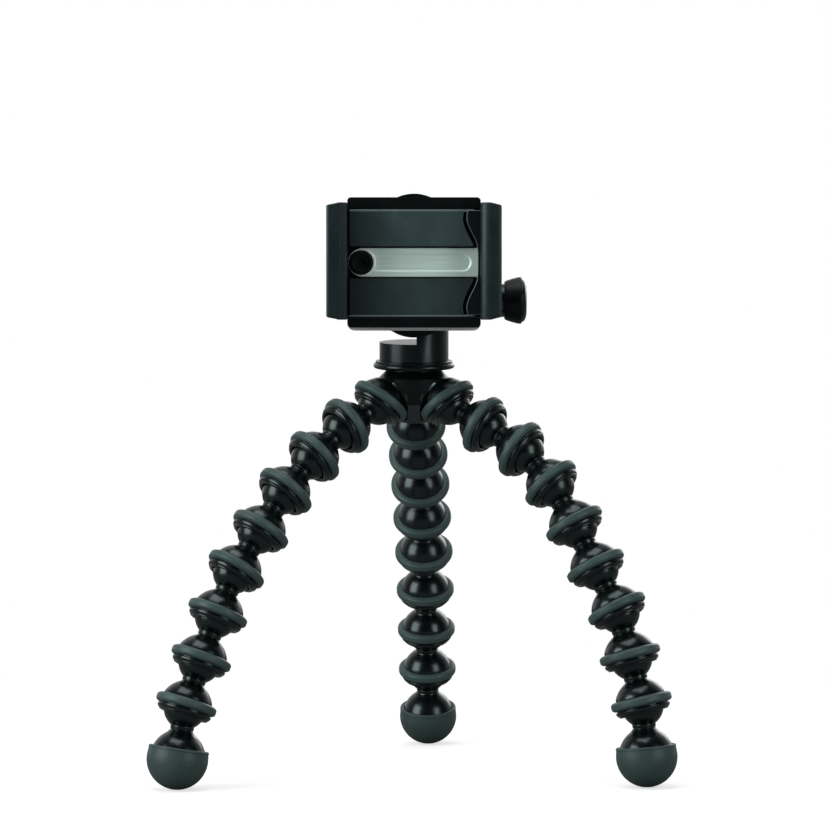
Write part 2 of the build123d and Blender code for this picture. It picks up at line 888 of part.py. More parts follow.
def make_slide_bar():
    """the steel bar that runs between the pads, with its long pressed groove"""
    right = body_side + carriage_tongue
    groove_left = groove_left_inset - body_side
    groove_right = body_side - groove_right_inset
    with BuildPart() as bar:
        with BuildSketch(facing(bar_back)):
            with Locations(((right + bar_left) / 2, 0)):
                Rectangle(right - bar_left, bar_width)
        extrude(amount=bar_thickness)
        with BuildSketch(facing(bar_front)):
            with Locations(((groove_right + groove_left) / 2, 0)):
                SlotOverall(groove_right - groove_left, groove_width)
        extrude(amount=-groove_depth, mode=Mode.SUBTRACT)
    save(bar, "slide_bar")


def make_rim():
    """the polished rim under the slide bar's cap"""
    with BuildPart() as rim:
        with BuildSketch(facing(bar_front)):
            with Locations((cap_x, 0)):
                Circle(rim_diameter / 2)
        extrude(amount=rim_height)
    save(rim, "cap_rim")


def make_cap():
    """the round cap at the slide bar's end, with a hexagon socket"""
    with BuildPart() as cap:
        with BuildSketch(facing(bar_front + rim_height)):
            with Locations((cap_x, 0)):
                Circle(cap_diameter / 2)
        extrude(amount=cap_height - rim_height)
        chamfer(cap.faces().sort_by(Axis.Y)[0].edges(), length=cap_edge)
        with BuildSketch(facing(bar_front + cap_height)):
            with Locations((cap_x, 0)):
                RegularPolygon(cap_socket_width / 2, 6, major_radius=False)
        extrude(amount=-cap_socket_depth, mode=Mode.SUBTRACT)
    save(cap, "slide_cap")


def make_carriage():
    """the moving plate, hollow towards the pads, with its tongue in the moving jaw"""
    right = body_side + carriage_tongue
    high = channel_height / 2 - pad_fit
    with BuildPart() as carriage:
        with BuildSketch(facing(bar_back)):
            with BuildLine():
                Polyline(
                    (carriage_horn_x, -carriage_horn_z),
                    (carriage_horn_x, -high),
                    (right, -high),
                    (right, high),
                    (carriage_horn_x, high),
                    (carriage_horn_x, carriage_horn_z),
                )
                ThreePointArc(
                    (carriage_horn_x, carriage_horn_z),
                    (carriage_hollow_x, 0),
                    (carriage_horn_x, -carriage_horn_z),
                )
            make_face()
        extrude(amount=body_front - carriage_set_back - bar_back)
        with BuildSketch(facing(bar_back)):
            Rectangle(2 * right + overrun, bar_width + 2 * bar_seat)
        extrude(amount=bar_thickness + bar_seat, mode=Mode.SUBTRACT)
    save(carriage, "moving_carriage")


def jaw_outline(side):
    """draws a jaw as seen from above: its side, wall and front lip"""
    inner = side * body_side
    outer = side * (body_side + jaw_width)
    wall = side * (body_side + jaw_width - jaw_wall)
    lip = side * (body_side - jaw_lip_overhang)
    back = tilt_point.Y - body_back
    front = tilt_point.Y - jaw_front
    step = tilt_point.Y - body_front
    Polyline(
        (inner, back),
        (outer, back),
        (outer, front),
        (lip, front),
        (lip, front + jaw_lip_thickness),
        (wall, front + jaw_lip_thickness),
        (wall, step),
        (inner, step),
        close=True,
    )


def make_jaw(side, label, moving):
    """a jaw, with the slot and rod holes that the moving one has"""
    tongue = body_side + carriage_tongue + carriage_fit
    with BuildPart() as jaw:
        with BuildSketch(Plane.XY.offset(jaw_foot)):
            with BuildLine():
                jaw_outline(side)
            make_face()
        extrude(amount=jaw_height)
        fillet(jaw.edges().filter_by(Axis.Z).sort_by(Axis.Y)[:2], radius=jaw_round)
        if moving:
            with BuildSketch(facing(bar_back - carriage_fit)):
                Rectangle(2 * tongue, channel_height - 2 * pad_fit + 2 * carriage_fit)
            extrude(amount=body_front - bar_back + carriage_fit, mode=Mode.SUBTRACT)
            for rod in (-1, 1):
                with BuildSketch(rod_plane(rod, body_side)):
                    Circle(rod_diameter / 2 + rod_fit)
                extrude(amount=rod_grip + rod_fit, mode=Mode.SUBTRACT)
    save(jaw, label)


def make_jaw_pad(side, label):
    """the rubber pad on the inside of a jaw"""
    wall = side * (body_side + jaw_width - jaw_wall - jaw_pad_thickness / 2)
    reach = jaw_reach - jaw_lip_thickness - 2 * jaw_pad_margin
    depth = body_front + jaw_pad_margin + reach / 2
    with BuildPart() as pad:
        with BuildSketch(Plane.XY.offset(jaw_foot + jaw_pad_margin)):
            with Locations((wall, tilt_point.Y - depth)):
                Rectangle(jaw_pad_thickness, reach)
        extrude(amount=jaw_height - 2 * jaw_pad_margin)
    save(pad, label)


def make_rods():
    """the two guide rods with their heads"""
    with BuildPart() as rods:
        for side in (-1, 1):
            with BuildSketch(rod_plane(side, rod_start)):
                Circle(rod_diameter / 2)
            extrude(amount=body_side + rod_grip - rod_start)
            with BuildSketch(rod_plane(side, rod_start)):
                Circle(rod_head_diameter / 2)
            extrude(amount=rod_head_height)
    save(rods, "guide_rods")


def make_springs():
    """the two springs that close the clamp, each the round space that its coil takes up"""
    start = rod_start + rod_head_height
    with BuildPart() as springs:
        for side in (-1, 1):
            with BuildSketch(rod_plane(side, start)):
                Circle(spring_outer_diameter / 2)
                Circle(spring_inner_diameter / 2, mode=Mode.SUBTRACT)
            extrude(amount=spring_end - start)
    save(springs, "jaw_springs")


os.makedirs("parts", exist_ok=True)
for name, chain in legs.items():
    for number, (joint, along) in enumerate(chain[:-1], start=1):
        make_link(f"{name}_leg_link_{number}", joint, along)
    make_foot_link(f"{name}_foot_link", *chain[-1])
    make_foot_pad(f"{name}_foot_pad", *chain[-1])
make_hub()
make_hub_grips()
make_screw()
make_locking_ring()
make_insert()
make_arm()
make_washers()
make_bolt()
make_nut()
make_knob()
make_knob_cap()
make_housing()
make_swivel_pin()
make_swivel_washer()
make_plate()
make_plate_screws()
make_clamp_body()
make_pad(1, "upper_pad")
make_pad(-1, "lower_pad")
make_slide_bar()
make_rim()
make_cap()
make_carriage()
make_jaw(-1, "fixed_jaw", False)
make_jaw(1, "moving_jaw", True)
make_jaw_pad(-1, "fixed_jaw_pad")
make_jaw_pad(1, "moving_jaw_pad")
make_rods()
make_springs()
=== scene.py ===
import json
from math import asin, cos, pi, radians, sin, sqrt

import bmesh
import bpy
from mathutils import Matrix, Vector

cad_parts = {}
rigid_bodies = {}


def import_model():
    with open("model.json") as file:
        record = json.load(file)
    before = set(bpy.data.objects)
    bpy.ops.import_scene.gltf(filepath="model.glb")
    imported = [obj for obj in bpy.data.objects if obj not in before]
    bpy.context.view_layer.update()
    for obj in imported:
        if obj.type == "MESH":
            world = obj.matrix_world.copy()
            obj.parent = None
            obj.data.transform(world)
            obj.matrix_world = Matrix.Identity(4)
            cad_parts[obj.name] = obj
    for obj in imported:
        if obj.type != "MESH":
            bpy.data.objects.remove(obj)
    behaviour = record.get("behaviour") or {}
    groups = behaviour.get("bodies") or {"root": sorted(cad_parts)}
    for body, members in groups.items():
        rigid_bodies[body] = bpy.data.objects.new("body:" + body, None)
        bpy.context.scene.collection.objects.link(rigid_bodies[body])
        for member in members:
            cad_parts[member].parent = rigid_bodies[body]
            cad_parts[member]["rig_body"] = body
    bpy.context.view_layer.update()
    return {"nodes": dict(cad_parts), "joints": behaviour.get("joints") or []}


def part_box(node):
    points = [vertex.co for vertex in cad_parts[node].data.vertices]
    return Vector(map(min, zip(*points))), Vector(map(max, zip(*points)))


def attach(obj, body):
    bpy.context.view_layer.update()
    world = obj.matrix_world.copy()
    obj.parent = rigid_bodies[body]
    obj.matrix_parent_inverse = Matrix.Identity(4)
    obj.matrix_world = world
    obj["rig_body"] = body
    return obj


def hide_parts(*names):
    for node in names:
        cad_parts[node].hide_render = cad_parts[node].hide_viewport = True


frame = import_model()

# The object's lengths are written in millimetres and turned into metres with this
MM = 0.001
# A spun outline nearer to its axis than this, in millimetres, closes in one point
ON_AXIS = 1e-4
# A corner's curve takes up this much of the straight beside it at most
EASE_SHARE = 0.49
# Points of a CAD mesh that are nearer to each other than this, in metres, become one point
WELD = 1e-6
# Facets of a CAD mesh that meet at less than this become one face
FLAT_ANGLE = radians(0.6)

LEGS = ("left", "right", "rear")
LINKS = 8

# A leg's link, as in the solids, with its ball's centre at 0 and its socket's at LINK_PITCH
BALL_RADIUS = 8.3
SOCKET_RADIUS = 8.55
LINK_PITCH = 18.8
DOME_RADIUS = 10.5
GRIP_RADIUS = 12.0
GRIP_HEIGHT = 4.6
GRIP_LEAD = 1.3
FOOT_REACH = 19.7
FOOT_RADIUS = 12.0

# Finer sizes of the legs, from the photograph: a dome's height against a ball's and its root on the neck, the
# angle in degrees at which the neck leaves the ball, the grip's height, the groove before it and the mouth
DOME_STRETCH = 1.05
DOME_ROOT = 5.7
NECK_ANGLE = 36.18
GRIP_SHOWN = 3.85
GROOVE = 0.25
SOCKET_MOUTH = 2.2
# The foot's dome, the height it ends at, and how far its rubber's rim stands over its centre
FOOT_DOME_RADIUS = 10.9
FOOT_DOME_END = -2.6
FOOT_RIM = 4.2

# The hub: how far its sockets point down, the bore of their lips, and the height of the ring's base
SOCKET_FALL = radians(50)
HUB_LIP_BORE = 9.2
RING_BASE = 13.7
# A panel's back inside the hub: its distance from the axis, and its width against the front
PANEL_BACK = 5.0
PANEL_BACK_SHARE = 0.6

# A front panel of the hub: height over the hub's middle, half width and distance from its axis
PANEL_ROWS = [
    (-7.75, 2.9, 8.0), (-7.4, 2.85, 8.7), (-6, 2.6, 9.6), (-4, 2.45, 10.6), (-2, 2.5, 11.5),
    (0, 2.75, 12.3), (2, 3.35, 12.9), (4, 4.6, 13.3), (6, 6.3, 13.55), (8, 8.3, 13.75),
    (9.4, 9.9, 13.9), (10.0, 10.6, 13.85), (10.3, 10.9, 13.4),
]
# Across the panel's edge: distance out from the half width, and height over its face
PANEL_EDGE = [
    (-1.3, 0.0), (-0.95, 0.03), (-0.6, 0.16), (-0.3, 0.25),
    (0.0, 0.24), (0.22, 0.05), (0.34, -0.3), (0.36, -0.8),
]

# The jaws from above: distances from the clamp's middle, and depths of the block and the lip
JAW_OUTER = 34.1
JAW_INNER = 26.1
JAW_LIP_END = 25.9
JAW_WALL = 29.5
JAW_BLOCK = 12.0
JAW_LIP = 3.0
# A jaw's ends draw in beyond the crest, by this much at its outer side
JAW_CREST = 29.8
JAW_END_FALL = 1.1
# The inner edges of the jaws' front lips: distance from the clamp's middle, depth and ease
STEPPED_NOSE = [
    (28.6, 0, 0.15), (28.3, 0.34, 0.12), (27.5, 0.38, 0.12),
    (27.25, 0.7, 0.12), (26.6, 0.78, 0.2), (25.9, 1.5, 0.4),
]
ROUND_NOSE = [
    (30.6 - 4.7 * sin(t), 2.8 * (1 - cos(t)), 0.4) for t in (0, 0.26, 0.52, 0.78, 1.04, 1.3, 1.52)
]

# The clamp's face: half width and end of the bar's groove, and the cap's shift to the left
GROOVE_HALF = 3.4
GROOVE_END = 22.3
CAP_SHIFT = 0.4
# The clamp's back: the screws' heads across, shank and cross recess, and the pin's shank and six sided socket
SCREW_HEAD = 5.2
SCREW_SHANK = 1.3
CROSS_REACH = 1.45
CROSS_HALF = 0.32
PIN_SHANK = 3.9
PIN_SOCKET = 2.5
# A face pad: node, side of the bar, how far its outer edge and the bead there are drawn in, the bead's radius
# each pad's bead is light grey, a painted highlight along the pad's outer edge
PADS = (("upper_pad", 1, 0.95, 0.4, 0.62), ("lower_pad", -1, 0.15, -0.3, 0.5))
PAD_BEAD_DEPTH = 0.48

# Colours: the tint of plastic's gloss, and how many clouds or scuffs a material has to the metre
PLASTIC_TINT = (0.8, 1.0, 0.98, 1)
PLASTIC_CLOUDS = 90.0
STEEL_CLOUDS = 120.0
SCUFF_SPACE = (900.0, 60.0, 140.0)
SCUFF_TURN = (0.5, 0.3, 0.8)
SCUFF_SHARE = 0.35
# The pads' painted shade across and up the clamp, for the fixed jaw's shadow and the dimmer lower pad: where
# its change starts and ends, in metres, and its share at each
PAINTED_SHADE_ACROSS = (-0.031, -0.007, 0.2, 1.3)
PAINTED_SHADE_UP = (0.199, 0.209, 0.62, 1.0)

# The photograph's camera
FOCAL_PIXELS = 4305.66
IMAGE_PIXELS = 826
SENSOR_MM = 36.0
CAMERA_PLACE = (0.0, -1.7202, 0.19713)
CAMERA_PITCH = radians(1.761)
SHIFT_PIXELS = 1.0

# The floor: its half size in metres, its tone for the object and for the camera, its glow for the camera,
# and the distances at which it starts to fade into the background and ends
FLOOR_SIZE = 6.0
FLOOR_BOUNCE = (0.22, 0.22, 0.22, 1)
FLOOR_TONE = (0.52, 0.52, 0.52, 1)
FLOOR_LIFT = 0.62
FADE_START = 0.14
FADE_END = 0.45

# The world's light from the camera's side and from behind, soft and in reflections, with the share of the
# way to the back at which it is full
WHITE = (1, 1, 1, 1)
FILL_COLOUR = (0.95, 0.98, 1, 1)
BEHIND_FULL = 0.8
WORLD_FILL = 0.28
WORLD_FILL_BEHIND = 0.6
MIRRORED = 0.03
MIRRORED_BEHIND = 0.8

# The lamps: name, place, size and power in watts, all turned to the object's middle
MIDDLE = (0, 0, 0.12)
LAMPS = (
    ("key", (-1.03, -0.55, 0.45), (0.75, 0.85), 10),
    ("fill", (0.86, -0.85, 0.35), (0.5, 0.8), 4.5),
    ("top", (-0.1, -0.15, 1.15), (0.8, 0.8), 6),
    ("back", (0.55, 1.25, 0.6), (0.9, 0.7), 4),
)


def mm(*sizes):
    """millimetres as a vector in metres"""
    return Vector(sizes) * MM


# Outlines and meshes


def eased(corners, closed=False, steps=5):
    """an outline of (across, along, ease) corners, with each corner eased into a curve"""
    line = []
    last = len(corners) - 1
    for i, (x, y, ease) in enumerate(corners):
        here = Vector((x, y))
        if ease == 0 or (not closed and i in (0, last)):
            line.append(here)
            continue
        back = Vector(corners[i - 1][:2]) - here
        ahead = Vector(corners[(i + 1) % len(corners)][:2]) - here
        reach = min(ease, EASE_SHARE * back.length, EASE_SHARE * ahead.length)
        start = here + back.normalized() * reach
        end = here + ahead.normalized() * reach
        for k in range(steps + 1):
            t = k / steps
            line.append(start * (1 - t) ** 2 + here * 2 * t * (1 - t) + end * t**2)
    return line


def ball_line(radius, centre, first, last, steps):
    """points on a ball round the axis, between two angles in degrees from its near pole"""
    angles = [radians(first + (last - first) * k / steps) for k in range(steps + 1)]
    return [Vector((radius * sin(a), centre - radius * cos(a))) for a in angles]


def polar_angle(radius, height):
    """degrees from the near pole at which a ball's surface is at a height above its centre"""
    return 90 + asin(height / radius) * 180 / pi


def circle(centre, radius, count=48):
    """a round outline"""
    angles = [2 * pi * k / count for k in range(count)]
    return [centre + Vector((radius * cos(a), radius * sin(a))) for a in angles]


def inset(line, distance):
    """a closed outline, wound anticlockwise, drawn in by a distance"""
    drawn = []
    for i, point in enumerate(line):
        before = (point - line[i - 1]).normalized()
        after = (line[(i + 1) % len(line)] - point).normalized()
        inward = Vector((-before.y - after.y, before.x + after.x)).normalized()
        share = max(0.5, inward.dot(Vector((-before.y, before.x))))
        drawn.append(point + inward * distance / share)
    return drawn


def anticlockwise(line):
    """a closed outline, turned round if it is wound clockwise"""
    turn = sum(a.x * b.y - b.x * a.y for a, b in zip(line, line[1:] + line[:1]))
    return line if turn > 0 else line[::-1]


def smooth_rows(rows, steps=4):
    """rows of numbers with more rows between them on smooth curves"""
    filled = []
    for i in range(len(rows) - 1):
        a, b, c, d = (Vector(rows[min(max(k, 0), len(rows) - 1)]) for k in (i - 1, i, i + 1, i + 2))
        bend = 2 * a - 5 * b + 4 * c - d
        twist = 3 * b - a - 3 * c + d
        for k in range(steps):
            t = k / steps
            filled.append(0.5 * (2 * b + (c - a) * t + bend * t**2 + twist * t**3))
    return filled + [Vector(rows[-1])]


def spin(bm, line, closed=False, segments=96):
    """adds the surface of an outline of (radius, height) points in millimetres, spun round Z"""
    angles = [2 * pi * k / segments for k in range(segments)]
    rings = []
    for radius, height in line:
        if radius < ON_AXIS:
            rings.append([bm.verts.new(mm(0, 0, height))])
        else:
            rings.append([bm.verts.new(mm(radius * cos(a), radius * sin(a), height)) for a in angles])
    if closed:
        rings.append(rings[0])
    for low, high in zip(rings, rings[1:]):
        for i in range(segments):
            j = (i + 1) % segments
            corners = (low[i % len(low)], low[j % len(low)], high[j % len(high)], high[i % len(high)])
            distinct = list(dict.fromkeys(corners))
            if len(distinct) > 2:
                bm.faces.new(distinct)


def wall(bm, rings):
    """joins rings of as many points each with faces"""
    for lower, upper in zip(rings, rings[1:]):
        for i in range(len(lower)):
            j = (i + 1) % len(lower)
            bm.faces.new((lower[i], lower[j], upper[j], upper[i]))


def ring_at(bm, line, draw, height):
    """a ring of points on an outline in millimetres, drawn in by a distance, at a height"""
    return [bm.verts.new(mm(point.x, point.y, height)) for point in inset(line, draw)]


def stack(bm, line, layers):
    """joins rings on one outline at (drawn in by, height) layers, and returns them"""
    rings = [ring_at(bm, line, draw, height) for draw, height in layers]
    wall(bm, rings)
    return rings


def face_between(bm, outer, inner):
    """fills the flat face between an outer ring and a ring inside it"""
    edges = [bm.edges.get((ring[i - 1], ring[i])) for ring in (outer, inner) for i in range(len(ring))]
    bmesh.ops.triangle_fill(bm, use_beauty=True, edges=edges)


def sunk(bm, outline, hole, front, depth, back):
    """adds a low solid on an outline, with a recess of another outline in its front"""
    outside = stack(bm, outline, [(0, back), (0, front - 0.12), (0.04, front - 0.04), (0.12, front)])
    bm.faces.new(outside[0][::-1])
    inside = stack(bm, hole, [(-0.05, front), (0, front - 0.05), (0.03, front - depth)])
    bm.faces.new(inside[-1])
    face_between(bm, outside[-1], inside[0])


def shank(bm, centre, radius, top, bottom, segments):
    """adds a round shank at a place on the clamp's back"""
    start = len(bm.verts)
    line = eased([(0, top, 0), (radius, top, 0.1), (radius, bottom, 0.2), (0, bottom, 0)])
    spin(bm, line, segments=segments)
    bm.verts.ensure_lookup_table()
    bmesh.ops.translate(bm, verts=bm.verts[start:], vec=mm(centre.x, centre.y, 0))


def prism(bm, line, low, high, ease, fall, steps=4):
    """adds an upright solid on a closed outline in millimetres, with its end edges rounded
    fall gives how far the ends draw in at a point of the outline"""
    line = anticlockwise(line)
    angles = [pi / 2 * k / steps for k in range(steps + 1)]
    layers = [(low, 1, ease * (1 - sin(a)), ease * (1 - cos(a))) for a in angles]
    layers += [(high, -1, ease * (1 - sin(a)), ease * (1 - cos(a))) for a in reversed(angles)]
    rings = []
    for end, inner, draw, rise in layers:
        ring = []
        for point in inset(line, draw):
            height = end + inner * (rise + fall(point))
            ring.append(bm.verts.new(mm(point.x, point.y, height)))
        rings.append(ring)
    wall(bm, rings)
    bm.faces.new(rings[0][::-1])
    bm.faces.new(rings[-1])


# Pieces and places


def add_object(name, data):
    """a new object in the scene"""
    thing = bpy.data.objects.new(name, data)
    bpy.context.scene.collection.objects.link(thing)
    return thing


def mesh_of(name, bm):
    """a bmesh as a mesh"""
    mesh = bpy.data.meshes.new(name)
    bm.to_mesh(mesh)
    bm.free()
    return mesh


def shade(bm, sharp_angle):
    """smooth faces, with hard edges only where they meet at more than an angle"""
    bmesh.ops.recalc_face_normals(bm, faces=bm.faces)
    for face in bm.faces:
        face.smooth = True
    for edge in bm.edges:
        edge.smooth = edge.calc_face_angle(0) < radians(sharp_angle)


def finished(name, bm, place, body, node_names, look, sharp_angle=40):
    """turns a bmesh into a piece of the object at its place, which rides on its body with its material"""
    shade(bm, sharp_angle)
    bm.transform(place)
    piece = add_object(name, mesh_of(name, bm))
    piece.data.materials.append(look)
    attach(piece, body)
    if node_names:
        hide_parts(*node_names)
    return piece


def round_edges(piece, bevel, sharp_angle=30):
    """rounds a piece's sharp edges, and returns the modifier that does it"""
    rounding = piece.modifiers.new("rounding", "BEVEL")
    rounding.width = bevel * MM
    rounding.segments = 3
    rounding.limit_method = "ANGLE"
    rounding.angle_limit = radians(sharp_angle)
    rounding.harden_normals = True
    rounding.miter_outer = "MITER_ARC"
    return rounding


def dressed(node, look, bevel):
    """the CAD node's own shape, with its sharp edges rounded"""
    bm = bmesh.new()
    bm.from_mesh(frame["nodes"][node].data)
    bmesh.ops.remove_doubles(bm, verts=bm.verts, dist=WELD)
    bmesh.ops.dissolve_limit(bm, angle_limit=FLAT_ANGLE, verts=bm.verts, edges=bm.edges)
    piece = finished(f"{node}_piece", bm, Matrix.Identity(4), body_of(node), [node], look, 30)
    round_edges(piece, bevel)


def carried(node, look):
    """a CAD node that shows as it is, with its own material"""
    mesh = frame["nodes"][node].data
    mesh.materials.clear()
    mesh.materials.append(look)


def body_of(node):
    """the body that carries a CAD node"""
    return frame["nodes"][node]["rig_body"]


def piece_box(node):
    """a CAD node's lowest and highest corners in millimetres"""
    low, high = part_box(node)
    return low / MM, high / MM


def joint_place(name):
    """where a joint is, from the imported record"""
    for joint in frame["joints"]:
        if joint["name"] == name:
            return Vector(joint["pos_m"])
    raise KeyError(name)


def axis_place(origin, along):
    """a place whose Z axis runs along a direction"""
    turn = along.normalized().to_track_quat("Z", "Y")
    return Matrix.Translation(origin) @ turn.to_matrix().to_4x4()


def hub_place():
    """the hub's middle, with its own level and upright"""
    left, right, rear = (joint_place(f"{leg}_leg_ball_1") for leg in LEGS)
    middle = (left + right + rear) / 3
    across = (right - left).normalized()
    away = (rear - middle).normalized()
    place = Matrix((across, away, across.cross(away))).transposed().to_4x4()
    place.translation = middle
    return place


# A piece drawn flat, with its face to the front or to the back
UPRIGHT = Matrix(((1, 0, 0, 0), (0, 0, -1, 0), (0, 1, 0, 0), (0, 0, 0, 1)))
BACKWARDS = Matrix(((-1, 0, 0, 0), (0, 0, 1, 0), (0, 1, 0, 0), (0, 0, 0, 1)))


# Materials


def adder(tree):
    """a tool that adds a node to a tree, with its settings, and with its inputs set or linked
    an input goes by its socket's name, or by its place, as i0 or i1"""

    def add(kind, settings=None, **inputs):
        node = tree.nodes.new(kind)
        for key, value in (settings or {}).items():
            setattr(node, key, value)
        for key, value in inputs.items():
            socket = node.inputs[int(key[1:])] if key[0] == "i" and key[1:].isdigit() else node.inputs[key]
            if isinstance(value, bpy.types.NodeSocket):
                tree.links.new(value, socket)
            else:
                socket.default_value = value
        return node

    return add


def combined(add, operation, first, second):
    """two numbers put together by a maths node"""
    return add("ShaderNodeMath", {"operation": operation}, i0=first, i1=second).outputs[0]


def ranged(add, value, start, end, low, high, kind="LINEAR"):
    """a number that goes from low to high while the value goes from start to end"""
    limits = {"From Min": start, "From Max": end, "To Min": low, "To Max": high}
    return add("ShaderNodeMapRange", {"interpolation_type": kind}, Value=value, **limits).outputs[0]


def ramp(add, fac, stops):
    """a colour ramp through (place, colour) stops"""
    node = add("ShaderNodeValToRGB", Fac=fac)
    band = node.color_ramp
    while len(band.elements) < len(stops):
        band.elements.new(0.5)
    for element, (place, colour) in zip(band.elements, stops):
        element.position = place
        element.color = (*colour, 1)
    return node.outputs["Color"]


def scaled(colour, factor):
    """a colour made lighter or darker"""
    return tuple(min(1.0, c * factor) for c in colour)


def new_look(name):
    """a new material with its tree, its shader and a tool that adds nodes"""
    look = bpy.data.materials.new(name)
    look.use_nodes = True
    tree = look.node_tree
    return look, tree, tree.nodes["Principled BSDF"], adder(tree)


def pad_painted_shade(add, where, tone):
    """painted shade on a tone: darker towards the clamp's fixed jaw, as its shadow, and on the clamp's lower
    half
    """
    parts = add("ShaderNodeSeparateXYZ", Vector=where).outputs
    across = ranged(add, parts["X"], *PAINTED_SHADE_ACROSS, kind="SMOOTHSTEP")
    up = ranged(add, parts["Z"], *PAINTED_SHADE_UP)
    share = combined(add, "MULTIPLY", across, up)
    return add("ShaderNodeMixRGB", {"blend_type": "MULTIPLY"}, Fac=1.0, Color1=tone, Color2=share).outputs[0]


def moulded(
    name, colour, roughness, grain=0.06, grain_size=0.35, cloud=0.12, scuff=0.08, level=0.5, painted_shade=None
):
    """moulded plastic or rubber: a cloudy colour, a fine grain and faint scuffs
    grain_size is in millimetres, and cloud is how much the colour varies
    level is how strong the gloss is, and the last argument is a function that paints shade into the tone"""
    look, tree, shader, add = new_look(name)
    where = add("ShaderNodeTexCoord").outputs["Object"]
    clouds = add("ShaderNodeTexNoise", Vector=where, Scale=PLASTIC_CLOUDS, Detail=4.0, Roughness=0.6)
    fine = add("ShaderNodeTexNoise", Vector=where, Scale=1 / (grain_size * MM), Detail=3.0, Roughness=0.55)
    streaked = add("ShaderNodeMapping", Vector=where, Scale=SCUFF_SPACE, Rotation=SCUFF_TURN).outputs[0]
    streaks = add("ShaderNodeTexNoise", Vector=streaked, Scale=1.0, Detail=5.0, Roughness=0.7)
    tone = ramp(add, clouds.outputs["Fac"], [
        (0.3, scaled(colour, 1 - cloud)), (0.5, colour), (0.7, scaled(colour, 1 + cloud)),
    ])
    # painted shade, if given, darkens the tone here
    if painted_shade:
        tone = painted_shade(add, where, tone)
    dust = ramp(add, streaks.outputs["Fac"], [(0.62, (0, 0, 0)), (0.8, (scuff,) * 3)])
    lighter = add("ShaderNodeMixRGB", {"blend_type": "ADD"}, Fac=SCUFF_SHARE, Color1=tone, Color2=dust)
    tree.links.new(lighter.outputs[0], shader.inputs["Base Color"])
    spread = ranged(add, clouds.outputs["Fac"], 0.3, 0.7, roughness * 0.88, min(1.0, roughness * 1.12))
    tree.links.new(combined(add, "ADD", spread, dust), shader.inputs["Roughness"])
    bump = add("ShaderNodeBump", Strength=grain, Distance=grain_size * MM * 0.4, Height=fine.outputs["Fac"])
    tree.links.new(bump.outputs[0], shader.inputs["Normal"])
    shader.inputs["Specular IOR Level"].default_value = level
    shader.inputs["Specular Tint"].default_value = PLASTIC_TINT
    return look


def steel(name, colour, roughness, stretch, grain=0.12, metal=1.0):
    """brushed metal, with its lines along the axis that stretch makes small"""
    look, tree, shader, add = new_look(name)
    where = add("ShaderNodeTexCoord").outputs["Object"]
    space = add("ShaderNodeMapping", Vector=where, Scale=stretch).outputs[0]
    lines = add("ShaderNodeTexNoise", Vector=space, Scale=1.0, Detail=6.0, Roughness=0.65)
    clouds = add("ShaderNodeTexNoise", Vector=where, Scale=STEEL_CLOUDS, Detail=3.0)
    tone = ramp(add, lines.outputs["Fac"], [(0.3, scaled(colour, 0.86)), (0.7, scaled(colour, 1.08))])
    tree.links.new(tone, shader.inputs["Base Color"])
    spread = ranged(add, clouds.outputs["Fac"], 0.0, 1.0, roughness * 0.8, roughness * 1.25)
    tree.links.new(spread, shader.inputs["Roughness"])
    bump = add("ShaderNodeBump", Strength=grain, Distance=0.02 * MM, Height=lines.outputs["Fac"])
    tree.links.new(bump.outputs[0], shader.inputs["Normal"])
    shader.inputs["Metallic"].default_value = metal
    return look


SHELL = moulded("shell_black", (0.0014, 0.0028, 0.0029), 0.24, grain=0.02, cloud=0.2, scuff=0.01)
GRIP = moulded(
    "grip_rubber", (0.041, 0.070, 0.066), 0.46,
    grain=0.25, grain_size=0.3, cloud=0.1, scuff=0.03, level=0.4)
FOOT = moulded(
    "foot_rubber", (0.035, 0.060, 0.057), 0.46,
    grain=0.22, grain_size=0.3, cloud=0.1, scuff=0.03, level=0.35)
HUB = moulded(
    "hub_black", (0.0012, 0.0022, 0.0022), 0.32,
    grain=0.08, grain_size=0.25, cloud=0.2, scuff=0.01, level=0.25)
PANEL = moulded(
    "panel_black", (0.0015, 0.0026, 0.0026), 0.22,
    grain=0.04, grain_size=0.25, cloud=0.2, scuff=0.01, level=0.9)
HEAD = moulded(
    "head_grey", (0.0016, 0.0034, 0.0038), 0.25,
    grain=0.08, grain_size=0.25, scuff=0.01, level=0.4)
JAW = moulded(
    "jaw_grey", (0.0078, 0.0150, 0.0160), 0.4,
    grain=0.12, grain_size=0.3, scuff=0.02, level=0.35)
BAND = moulded(
    "band_black", (0.0009, 0.0013, 0.0014), 0.45,
    grain=0.15, grain_size=0.3, scuff=0.01, level=0.2)
# the face pads' material paints shade into its colour: the fixed jaw's shadow and a dimmer lower pad
PAD = moulded(
    "face_rubber", (0.024, 0.041, 0.043), 0.55,
    grain=0.25, grain_size=0.25, cloud=0.2, scuff=0.03, level=0.35, painted_shade=pad_painted_shade)
CARRIAGE = moulded("carriage_grey", (0.003, 0.0065, 0.0075), 0.28, grain=0.1, grain_size=0.3, scuff=0.02)
KNOB = moulded(
    "knob_black", (0.0012, 0.0024, 0.0022), 0.42,
    grain=0.2, grain_size=0.3, scuff=0.01, level=0.2)
WASHER = moulded("washer_nylon", (0.003, 0.004, 0.004), 0.5, grain=0.1, level=0.3)
